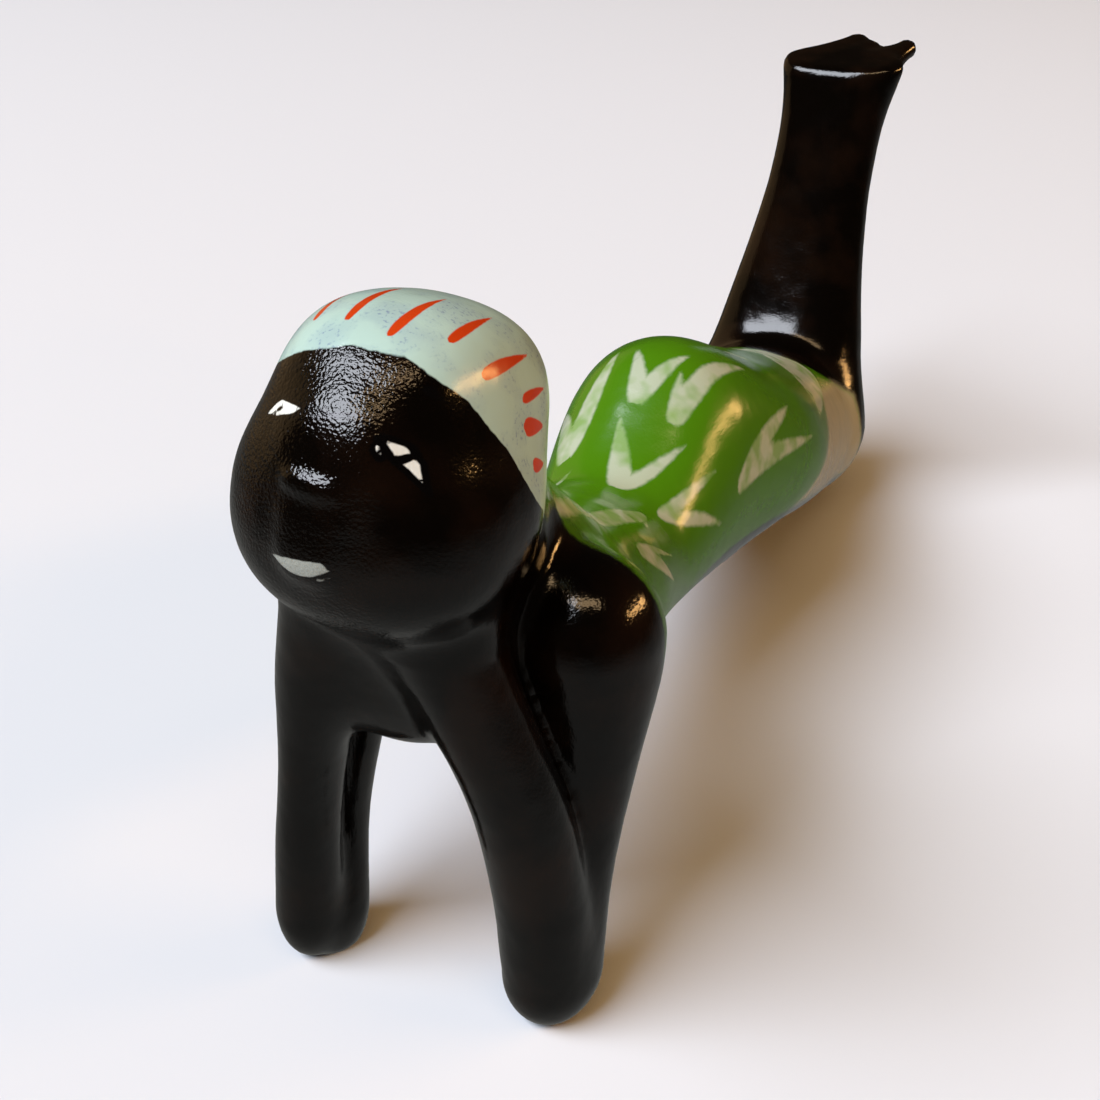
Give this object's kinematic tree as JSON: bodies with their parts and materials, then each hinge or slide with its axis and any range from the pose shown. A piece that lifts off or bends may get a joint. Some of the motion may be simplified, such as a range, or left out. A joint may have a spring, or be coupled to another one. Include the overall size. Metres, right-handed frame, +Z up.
{
  "type": "reclining bather figurine",
  "caption": "Glazed ceramic figurine of a stylised bather lying prone, chin on forearms, lower legs kicked up, with a painted head scarf and leafy green bathing suit.",
  "frame": {"origin": "on the ground, under the centre of the figurine's bounding box", "axes": "+Y from the face towards the feet, +X to the figure's left, +Z up"},
  "size_m": [0.0324, 0.1414, 0.0621],
  "materials": {
    "painted_glaze": "glossy black-brown glaze with hand-painted mint, green, white and orange-red areas"
  },
  "bodies": {
    "root": {"bather_figurine": "painted_glaze"}
  },
  "joints": []
}
